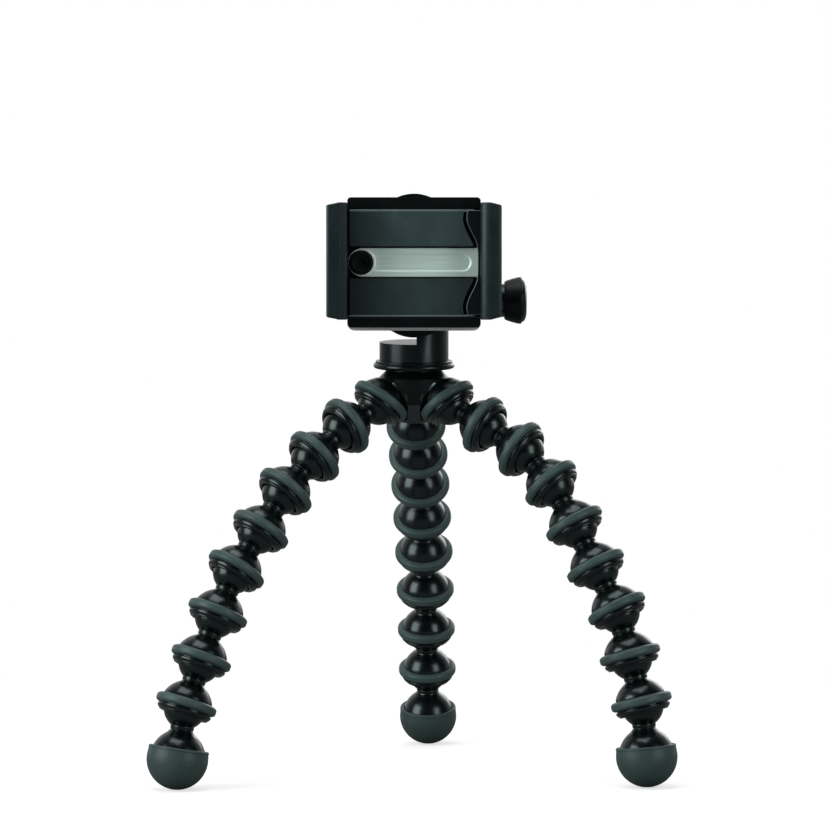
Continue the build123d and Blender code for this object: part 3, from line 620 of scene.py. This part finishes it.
# a light grey that paints highlights along the pads' beads and the carriage's rounded edges
PAINTED_HIGHLIGHT = moulded("painted_highlight_grey", (0.10, 0.14, 0.14), 0.25, grain=0.05, grain_size=0.3, scuff=0.02, level=0.8)
BAR = steel("bar_steel", (0.72, 0.91, 0.83), 0.52, (30.0, 2500.0, 2500.0), metal=0.55)
PLATE = steel("plate_steel", (0.78, 0.82, 0.8), 0.42, (1200.0, 1200.0, 60.0), metal=0.7)
RIM = steel("rim_steel", (0.88, 1.0, 0.97), 0.35, (900.0, 900.0, 900.0), grain=0.05, metal=0.15)
FASTENER = steel("fastener_steel", (0.34, 0.35, 0.36), 0.3, (1500.0, 1500.0, 1500.0), metal=0.85)
SCREWS = steel("screw_black", (0.06, 0.063, 0.065), 0.32, (1500.0, 1500.0, 1500.0), metal=0.6)
SPRING = steel("spring_steel", (0.4, 0.41, 0.42), 0.3, (4000.0, 60.0, 60.0))
BRASS = steel("insert_brass", (0.6, 0.42, 0.16), 0.3, (1200.0, 1200.0, 1200.0))


# Legs


def leg_points(leg):
    """the centres of a leg's balls and of its foot, from the hub down"""
    centres = [joint_place(f"{leg}_leg_ball_{k}") for k in range(1, LINKS + 2)]
    flat = centres[-1] - centres[0]
    flat.z = 0
    flat.normalize()
    reach = FOOT_REACH * MM
    fall = asin((centres[-1].z - FOOT_RADIUS * MM) / reach)
    centres.append(centres[-1] + (flat * cos(fall) - Vector((0, 0, 1)) * sin(fall)) * reach)
    return centres


def stem_line(dome_radius, centre):
    """the ball and the ridged neck of a link, up to the root of its dome"""
    root_height = centre - DOME_STRETCH * sqrt(dome_radius**2 - DOME_ROOT**2)
    neck = eased([
        (4.9, 6.7, 0), (4.62, 6.9, 0.1), (4.6, 7.05, 0.1), (4.68, 7.2, 0.15), (4.55, 8.15, 0.3),
        (4.35, 8.35, 0.2), (4.6, 8.8, 0.4), (DOME_ROOT, root_height, 0),
    ])
    return ball_line(BALL_RADIUS, 0, 0, 180 - NECK_ANGLE, 22)[:-1] + neck[:-1]


def dome_line(radius, centre, last_height, steps):
    """a dome, a little taller than a ball, from its root down to a height against its centre"""
    root_angle = asin(DOME_ROOT / radius) * 180 / pi
    line = ball_line(radius, centre, root_angle, polar_angle(radius, last_height), steps)
    return [Vector((point.x, centre + DOME_STRETCH * (point.y - centre))) for point in line]


def grip_start(centre):
    """the height of a grip ring's near side, by the height of its socket's centre"""
    return centre - GRIP_LEAD - GRIP_HEIGHT / 2


def lip_corners(centre):
    """the groove after the grip, the lip's bead and the stepped mouth"""
    end = grip_start(centre) + GRIP_SHOWN
    return [
        (9.5, end + 0.02, 0.05), (10.15, end + 0.02, 0.05), (10.15, end + 0.3, 0.05),
        (10.5, end + 0.3, 0.15), (10.8, end + 0.6, 0.3), (10.6, end + 1.5, 0.5),
        (10.0, end + 2.1, 0.3), (9.8, end + 2.14, 0.1), (9.75, end + 2.4, 0.1),
        (9.7, centre + 2.75, 0.15), (9.4, centre + 2.9, 0.15), (8.75, centre + 2.9, 0.15),
        (8.35, centre + 2.45, 0),
    ]


def cup_line(centre):
    """the end of a dome, the groove before the grip, the lip and the mouth"""
    start = grip_start(centre)
    shoulder = sqrt(DOME_RADIUS**2 - (centre - start + GROOVE) ** 2)
    return eased([(shoulder, start - GROOVE, 0), (9.5, start - 0.05, 0.1), *lip_corners(centre)])


def grip_line(centre):
    """a grip ring with a full round back"""
    start = grip_start(centre)
    end = start + GRIP_SHOWN
    return eased([
        (9.6, start + 0.05, 0.1), (10.75, start + 0.02, 1.1), (GRIP_RADIUS, start + 0.75, 1.2),
        (GRIP_RADIUS + 0.05, start + 1.9, 0.6), (GRIP_RADIUS, end - 0.75, 1.2),
        (10.75, end - 0.02, 1.1), (9.6, end - 0.05, 0.1),
    ], closed=True, steps=6)


def make_shell(name, place, body):
    """the black moulding of a link"""
    dome_end = grip_start(LINK_PITCH) - GROOVE - LINK_PITCH
    dome = dome_line(DOME_RADIUS, LINK_PITCH, dome_end, 14)
    inside = ball_line(SOCKET_RADIUS, LINK_PITCH, polar_angle(SOCKET_RADIUS, SOCKET_MOUTH), 0, 16)
    bm = bmesh.new()
    spin(bm, stem_line(DOME_RADIUS, LINK_PITCH) + dome[:-1] + cup_line(LINK_PITCH) + inside)
    finished(name, bm, place, body, [body], SHELL)


def make_grip(name, place, body, centre, nodes):
    """one rubber grip ring"""
    bm = bmesh.new()
    spin(bm, grip_line(centre), closed=True, segments=112)
    finished(name, bm, place, body, nodes, GRIP)


def make_foot(leg, place, body):
    """the last moulding of a leg and its rubber half ball"""
    dome = dome_line(FOOT_DOME_RADIUS, FOOT_REACH, FOOT_DOME_END, 16)
    bm = bmesh.new()
    spin(bm, stem_line(FOOT_DOME_RADIUS, FOOT_REACH) + dome + [Vector((0, dome[-1].y))])
    finished(f"{leg}_foot_shell", bm, place, body, [f"{leg}_foot_link"], SHELL)
    rim = FOOT_REACH - FOOT_RIM
    edge = eased([
        (0, rim + 0.35, 0), (10.2, rim + 0.35, 0.1), (10.5, rim, 0.2), (11.5, rim - 0.05, 0.3),
        (11.8, rim + 0.3, 0.3), (11.86, rim + 0.85, 0.2), (11.7, rim + 1.05, 0.1),
        (11.76, rim + 1.3, 0.2), (11.97, FOOT_REACH - 0.6, 0.5), (FOOT_RADIUS, FOOT_REACH, 0),
    ])
    bm = bmesh.new()
    spin(bm, edge[:-1] + ball_line(FOOT_RADIUS, FOOT_REACH, 90, 180, 28))
    finished(f"{leg}_foot_rubber", bm, place, body, [f"{leg}_foot_pad"], FOOT)


def make_leg(leg):
    """every link of a leg, each on its own body"""
    centres = leg_points(leg)
    for k in range(LINKS):
        body = f"{leg}_leg_link_{k + 1}"
        place = axis_place(centres[k], centres[k + 1] - centres[k])
        make_shell(f"{leg}_shell_{k + 1}", place, body)
        make_grip(f"{leg}_grip_{k + 1}", place, body, LINK_PITCH, [])
    make_foot(leg, axis_place(centres[-2], centres[-1] - centres[-2]), f"{leg}_foot")


# Hub and head


def make_hub_panels():
    """the three panels between the hub's sockets, narrow below and flared above, with raised edges"""
    rows = smooth_rows(PANEL_ROWS)
    for k, turn in enumerate((0, 120, 240)):
        bm = bmesh.new()
        rings = []
        for height, half, distance in rows:
            right = [(half + out, rise) for out, rise in PANEL_EDGE]
            edge = [(-x, rise) for x, rise in reversed(right)] + right
            ring = [bm.verts.new(mm(x, -sqrt((distance + rise) ** 2 - x * x), height)) for x, rise in edge]
            reach = (half + PANEL_EDGE[-1][0]) * PANEL_BACK_SHARE
            ring.append(bm.verts.new(mm(reach, -PANEL_BACK, height)))
            ring.append(bm.verts.new(mm(-reach, -PANEL_BACK, height)))
            rings.append(ring)
        wall(bm, rings)
        bm.faces.new(rings[0][::-1])
        bm.faces.new(rings[-1])
        place = hub_place() @ Matrix.Rotation(radians(turn), 4, "Z")
        finished(f"hub_panel_{k + 1}", bm, place, body_of("hub_body"), [], PANEL, 50)


def make_hub_cups():
    """the rubber rings and the lips of the hub's sockets"""
    place = hub_place()
    lip = lip_corners(0)[:-3]
    outline = [(HUB_LIP_BORE, lip[0][1], 0.1), *lip[1:], (HUB_LIP_BORE, lip[-1][1], 0.1)]
    for leg in LEGS:
        joint = joint_place(f"{leg}_leg_ball_1")
        level = (joint - place.translation).normalized()
        along = level * cos(SOCKET_FALL) - place.col[2].to_3d() * sin(SOCKET_FALL)
        nodes = ["hub_grip_rings"] if leg == LEGS[0] else []
        make_grip(f"{leg}_hub_grip", axis_place(joint, along), body_of("hub_grip_rings"), 0, nodes)
        bm = bmesh.new()
        spin(bm, eased(outline, closed=True), closed=True)
        finished(f"{leg}_hub_lip", bm, axis_place(joint, along), body_of("hub_body"), [], SHELL)


def make_ring():
    """the locking ring, a full bead with a thin one on it"""
    place = hub_place() @ Matrix.Translation(mm(0, 0, RING_BASE))
    bm = bmesh.new()
    spin(bm, eased([
        (3.5, 0.0, 0.2), (13.4, 0.0, 0.5), (15.7, 0.05, 0.9), (16.36, 1.15, 0.9), (15.8, 2.2, 0.5),
        (15.0, 2.28, 0.1), (14.95, 2.4, 0.1), (15.3, 2.48, 0.2), (15.35, 3.05, 0.35),
        (14.4, 3.18, 0.4), (3.5, 3.18, 0.2),
    ], closed=True), closed=True)
    finished("locking_ring_piece", bm, place, body_of("locking_ring"), ["locking_ring"], HEAD)


def make_knob():
    """the flared knob and the shallow dome in its end"""
    low, high = piece_box("tilt_knob")
    place = axis_place(mm(low.x, (low.y + high.y) / 2, (low.z + high.z) / 2), Vector((1, 0, 0)))
    length = high.x - low.x
    crown = piece_box("knob_cap")[1].x - low.x
    bm = bmesh.new()
    spin(bm, eased([
        (0, -0.5, 0), (7.4, -0.5, 0.3), (7.9, 0.2, 0.5), (8.35, 1.6, 0.8), (8.9, 3.4, 0.9), (9.3, 5.2, 0.6),
        (9.34, length - 0.3, 0.25), (9.0, length, 0.2), (8.7, length - 0.1, 0.1), (0, length - 0.1, 0),
    ]))
    finished("tilt_knob_piece", bm, place, body_of("tilt_knob"), ["tilt_knob"], KNOB)
    bm = bmesh.new()
    spin(bm, eased([
        (0, length - 0.1, 0), (8.6, length - 0.1, 0.1), (8.65, length + 0.3, 0.3),
        (8.0, length + 1.2, 0.8), (6.2, crown - 0.2, 1.6), (0, crown, 0),
    ]))
    finished("knob_cap_piece", bm, place, body_of("knob_cap"), ["knob_cap"], HEAD)


# Clamp


def make_jaw(node, side, nose):
    """a jaw of the clamp, drawn from above: its block, wall and front lip, whose inner edge is the nose"""
    low, high = piece_box(node)
    back, front = high.y, low.y
    step = back - JAW_BLOCK
    lip_back = front + JAW_LIP
    corners = [(JAW_INNER, back, 0.3), (JAW_OUTER, back, 1.0), (JAW_OUTER, front, 1.3)]
    corners += [(x, front + y, ease) for x, y, ease in nose]
    corners += [(JAW_LIP_END, lip_back, 0.3), (JAW_WALL, lip_back, 0.6), (JAW_WALL, step, 0.4)]
    corners += [(JAW_INNER, step, 0.3)]
    line = eased([(side * x, y, ease) for x, y, ease in corners], closed=True)

    def fall(point):
        outward = max(0, abs(point.x) - JAW_CREST)
        return JAW_END_FALL * outward / (JAW_OUTER - JAW_CREST)

    bm = bmesh.new()
    prism(bm, line, low.z, high.z, 0.5, fall)
    finished(f"{node}_piece", bm, Matrix.Identity(4), body_of(node), [node], JAW, 32)


def disc(name, node, line, centre, front, look):
    """a turned disc on the clamp's face, which replaces a node"""
    place = axis_place(mm(centre.x, -front, centre.y), Vector((0, -1, 0)))
    bm = bmesh.new()
    spin(bm, eased(line))
    finished(name, bm, place, body_of(node), [node], look)


def make_slide_cap():
    """the steel rim at the bar's end and the black cap in it, with turned steps round a small hole"""
    low, high = piece_box("cap_rim")
    centre = Vector(((low.x + high.x) / 2, (low.z + high.z) / 2))
    radius = (high.x - low.x) / 2
    disc("cap_rim_piece", "cap_rim", [
        (0, 0, 0), (radius - 0.02, 0, 0.1), (radius - 0.02, 0.45, 0.25), (radius - 0.3, 0.68, 0.2),
        (radius - 0.8, 0.6, 0.2), (0, 0.6, 0),
    ], centre, -high.y, RIM)
    cap_radius = radius - 0.62
    disc("slide_cap_piece", "slide_cap", [
        (0, 0, 0), (cap_radius, 0, 0.1), (cap_radius, 0.75, 0.4), (cap_radius - 0.5, 1.25, 0.4),
        (3.1, 1.25, 0.2), (2.9, 1.05, 0.1), (1.75, 1.05, 0.1), (1.65, 0.85, 0.1), (1.6, 0.2, 0.1),
        (0, 0.2, 0),
    ], centre - Vector((CAP_SHIFT, 0)), -low.y, BAND)


def make_bar():
    """the steel bar, round at its capped end, with its long pressed groove"""
    low, high = piece_box("slide_bar")
    middle = (low.z + high.z) / 2
    half = (high.z - low.z) / 2
    start = low.x + half
    end = GROOVE_END - GROOVE_HALF
    back, front = -high.y, -low.y
    arc = [pi / 2 + pi * k / 24 for k in range(25)]
    outline = [Vector((start + half * cos(a), middle + half * sin(a))) for a in arc]
    outline += [Vector((high.x, low.z)), Vector((high.x, high.z))]
    groove = [Vector((start + GROOVE_HALF * cos(a), middle + GROOVE_HALF * sin(a))) for a in arc]
    groove += [Vector((end - GROOVE_HALF * cos(a), middle - GROOVE_HALF * sin(a))) for a in arc]
    bm = bmesh.new()
    outside = stack(bm, outline, [
        (0.15, back), (0, back + 0.15), (0, front - 0.25), (0.08, front - 0.08), (0.25, front),
    ])
    bm.faces.new(outside[0][::-1])
    pressed = stack(bm, groove, [
        (-0.5, front), (-0.25, front - 0.02), (0, front - 0.12),
        (0.25, front - 0.3), (0.5, front - 0.39), (0.75, front - 0.4),
    ])
    bm.faces.new(pressed[-1])
    face_between(bm, outside[-1], pressed[0])
    finished("slide_bar_piece", bm, UPRIGHT, body_of("slide_bar"), ["slide_bar"], BAR, 25)


def cross(centre, reach, half):
    """the outline of a screw's cross recess"""
    corner = [(reach, -half), (reach, half), (half, half)]
    turned = []
    for quarter in range(4):
        turn = Matrix.Rotation(pi / 2 * quarter, 2)
        turned += [centre + turn @ Vector(point) for point in corner]
    return turned


def make_plate_screws():
    """the back plate's four screws, with cross recesses"""
    low, high = piece_box("plate_screws")
    radius = SCREW_HEAD / 2
    bm = bmesh.new()
    for x in (low.x + radius, high.x - radius):
        for z in (low.z + radius, high.z - radius):
            centre = Vector((-x, z))
            recess = cross(centre, CROSS_REACH, CROSS_HALF)
            sunk(bm, circle(centre, radius), recess, high.y + 0.08, 0.8, high.y - 1.1)
            shank(bm, centre, SCREW_SHANK, high.y - 1, low.y, 32)
    body = body_of("plate_screws")
    finished("plate_screws_piece", bm, BACKWARDS, body, ["plate_screws"], SCREWS, 30)


def make_swivel_pin():
    """the pin that the clamp turns on, with a six sided socket in its low head"""
    low, high = piece_box("swivel_pin")
    radius = (high.x - low.x) / 2
    middle = Vector((-(low.x + high.x) / 2, (low.z + high.z) / 2))
    bm = bmesh.new()
    sunk(bm, circle(middle, radius - 0.05, 72), circle(middle, PIN_SOCKET, 6), high.y, 1.4, high.y - 1.6)
    shank(bm, middle, PIN_SHANK, high.y - 1.5, low.y, 48)
    body = body_of("swivel_pin")
    finished("swivel_pin_piece", bm, BACKWARDS, body, ["swivel_pin"], FASTENER, 30)


def slab(name, node, outline, look, bevel, painted_highlight_look=None):
    """makes a flat piece of the clamp's face on an outline of (across, up, ease) corners, as deep as its node
    its last argument is the look of its rounded edges, a light grey that paints a highlight along them"""
    low, high = piece_box(node)
    line = anticlockwise(eased(outline, closed=True, steps=3))
    bm = bmesh.new()
    rings = stack(bm, line, [(0, -high.y), (0, -low.y)])
    bm.faces.new(rings[0][::-1])
    bm.faces.new(rings[1])
    piece = finished(name, bm, UPRIGHT, body_of(node), [node], look, 30)
    rounding = round_edges(piece, bevel, sharp_angle=50)
    # the rounded edges take the light grey of the painted highlight
    if painted_highlight_look:
        piece.data.materials.append(painted_highlight_look)
        rounding.material = 1


def make_pads():
    """the two rubber pads of the clamp's face, and a bead along the outer edge of each, light grey as a
    painted highlight
    """
    for node, side, edge_in, bead_in, bead_radius in PADS:
        low, high = piece_box(node)
        inner = low.z if side > 0 else high.z
        outer = high.z if side > 0 else low.z
        slab(f"{node}_piece", node, [
            (low.x, inner, 0.3), (low.x, outer - side * edge_in, 0.3), (19.6, outer - side * edge_in, 0.3),
            (19.0, inner + side * 10.2, 1.5), (20.5, inner + side * 6.0, 1.5),
            (22.3, inner + side * 2.6, 1.0), (23.3, inner + side * 0.6, 0.4), (23.3, inner, 0.2),
        ], PAD, 0.35)
        half = (high.x - low.x) / 2
        bead = eased([(0, -half, 0), (bead_radius, -half, 0.2), (bead_radius, half, 0.2), (0, half, 0)])
        middle = mm((low.x + high.x) / 2, low.y + PAD_BEAD_DEPTH, outer - side * bead_in)
        bm = bmesh.new()
        spin(bm, bead, segments=20)
        place = axis_place(middle, Vector((1, 0, 0)))
        # the bead is coloured light grey as a painted highlight
        finished(f"{node}_painted_highlight_bead", bm, place, body_of(node), [], PAINTED_HIGHLIGHT)


def make_carriage():
    """the moving jaw's plate, hollow on the side of the pads, with a light grey painted highlight on its
    rounded edges
    """
    low, high = piece_box("moving_carriage")
    middle = (low.z + high.z) / 2
    right = high.x
    half = (high.z - low.z) / 2 - 0.2
    edge = [
        (20.9, half, 0.6), (20.45, half - 3.0, 1.2), (20.9, 15.2, 1.2), (22.4, 11.9, 1.2),
        (24.0, 8.9, 1.2), (24.8, 6.2, 1.2), (24.95, 3.5, 1.2),
    ]
    upper = [(x, middle + rise, ease) for x, rise, ease in edge]
    lower = [(x, middle - rise, ease) for x, rise, ease in reversed(edge)]
    outline = [(right, middle + half, 0.3), *upper, *lower, (right, middle - half, 0.3)]
    slab("moving_carriage_piece", "moving_carriage", outline, CARRIAGE, 0.55, PAINTED_HIGHLIGHT)


# Floor, lights and camera


def camera_sees(add):
    """one for what the camera sees, itself or through glass, and zero for all other light"""
    paths = add("ShaderNodeLightPath").outputs
    return combined(add, "MAXIMUM", paths["Is Camera Ray"], paths["Is Transmission Ray"])


def make_floor():
    """a wide white floor, which shows soft shadows and fades into the white background"""
    bm = bmesh.new()
    bmesh.ops.create_grid(bm, x_segments=1, y_segments=1, size=FLOOR_SIZE)
    floor = add_object("floor", mesh_of("floor", bm))
    look = bpy.data.materials.new("floor_white")
    look.use_nodes = True
    look.node_tree.nodes.clear()
    add = adder(look.node_tree)
    seen = camera_sees(add)
    tone = add("ShaderNodeMixRGB", Color1=FLOOR_BOUNCE, Color2=FLOOR_TONE, Fac=seen)
    matte = add("ShaderNodeBsdfDiffuse", Color=tone.outputs[0])
    glow = add("ShaderNodeEmission", Strength=combined(add, "MULTIPLY", seen, FLOOR_LIFT))
    near = add("ShaderNodeAddShader", i0=matte.outputs[0], i1=glow.outputs[0])
    far = add("ShaderNodeEmission", Strength=1.0)
    where = add("ShaderNodeNewGeometry").outputs["Position"]
    distance = add("ShaderNodeVectorMath", {"operation": "LENGTH"}, i0=where).outputs["Value"]
    share = combined(add, "MULTIPLY", ranged(add, distance, FADE_START, FADE_END, 0.0, 1.0), seen)
    mix = add("ShaderNodeMixShader", i0=share, i1=near.outputs[0], i2=far.outputs[0])
    add("ShaderNodeOutputMaterial", Surface=mix.outputs[0])
    floor.data.materials.append(look)


def make_world():
    """a white background; its light on the object is soft, and weaker from the camera's side"""
    world = bpy.data.worlds.new("studio")
    bpy.context.scene.world = world
    world.use_nodes = True
    world.node_tree.nodes.clear()
    add = adder(world.node_tree)
    where = add("ShaderNodeTexCoord").outputs["Generated"]
    away = add("ShaderNodeSeparateXYZ", i0=where).outputs["Y"]
    soft = ranged(add, away, 0.0, BEHIND_FULL, WORLD_FILL, WORLD_FILL_BEHIND)
    gloss = ranged(add, away, 0.0, BEHIND_FULL, MIRRORED, MIRRORED_BEHIND)
    fill = add("ShaderNodeBackground", Color=FILL_COLOUR, Strength=soft)
    mirrored = add("ShaderNodeBackground", Color=WHITE, Strength=gloss)
    backdrop = add("ShaderNodeBackground", Color=WHITE, Strength=1.0)
    glossy = add("ShaderNodeLightPath").outputs["Is Glossy Ray"]
    shiny = add("ShaderNodeMixShader", i0=glossy, i1=fill.outputs[0], i2=mirrored.outputs[0])
    mix = add("ShaderNodeMixShader", i0=camera_sees(add), i1=shiny.outputs[0], i2=backdrop.outputs[0])
    add("ShaderNodeOutputWorld", Surface=mix.outputs[0])


def make_lamp(name, place, size, power):
    """a soft box that points at the object's middle"""
    lamp = bpy.data.lights.new(name, "AREA")
    lamp.shape = "RECTANGLE"
    lamp.size, lamp.size_y = size
    lamp.energy = power
    holder = add_object(name, lamp)
    holder.location = place
    holder.rotation_euler = (Vector(MIDDLE) - Vector(place)).to_track_quat("-Z", "Y").to_euler()


def make_camera():
    """the photograph's camera"""
    lens = bpy.data.cameras.new("camera")
    lens.sensor_width = SENSOR_MM
    lens.lens = SENSOR_MM * FOCAL_PIXELS / IMAGE_PIXELS
    lens.shift_x = -SHIFT_PIXELS / IMAGE_PIXELS
    lens.clip_start = 0.05
    lens.clip_end = 30
    camera = add_object("camera", lens)
    camera.location = CAMERA_PLACE
    camera.rotation_euler = (pi / 2 - CAMERA_PITCH, 0, 0)
    bpy.context.scene.camera = camera


# The object, from the legs up, and then the studio

for leg in LEGS:
    make_leg(leg)
dressed("hub_body", HUB, 0.6)
make_jaw("fixed_jaw", -1, STEPPED_NOSE)
make_jaw("moving_jaw", 1, ROUND_NOSE)
make_knob()
make_slide_cap()
make_bar()
make_pads()
make_carriage()
make_hub_panels()
make_hub_cups()
make_ring()
make_plate_screws()
make_swivel_pin()
dressed("tilt_arm", HEAD, 0.4)
dressed("back_housing", HEAD, 0.9)
dressed("clamp_plate", PLATE, 0.2)
dressed("clamp_body", BAND, 0.4)
dressed("fixed_jaw_pad", PAD, 0.3)
dressed("moving_jaw_pad", PAD, 0.3)
for node in ("tripod_screw", "tilt_bolt", "tilt_nut", "guide_rods"):
    carried(node, FASTENER)
carried("screw_insert", BRASS)
carried("tilt_washers", WASHER)
carried("swivel_washer", WASHER)
carried("jaw_springs", SPRING)

make_floor()
make_world()
for name, place, size, power in LAMPS:
    make_lamp(name, place, size, power)
make_camera()
bpy.context.scene.view_settings.view_transform = "Standard"
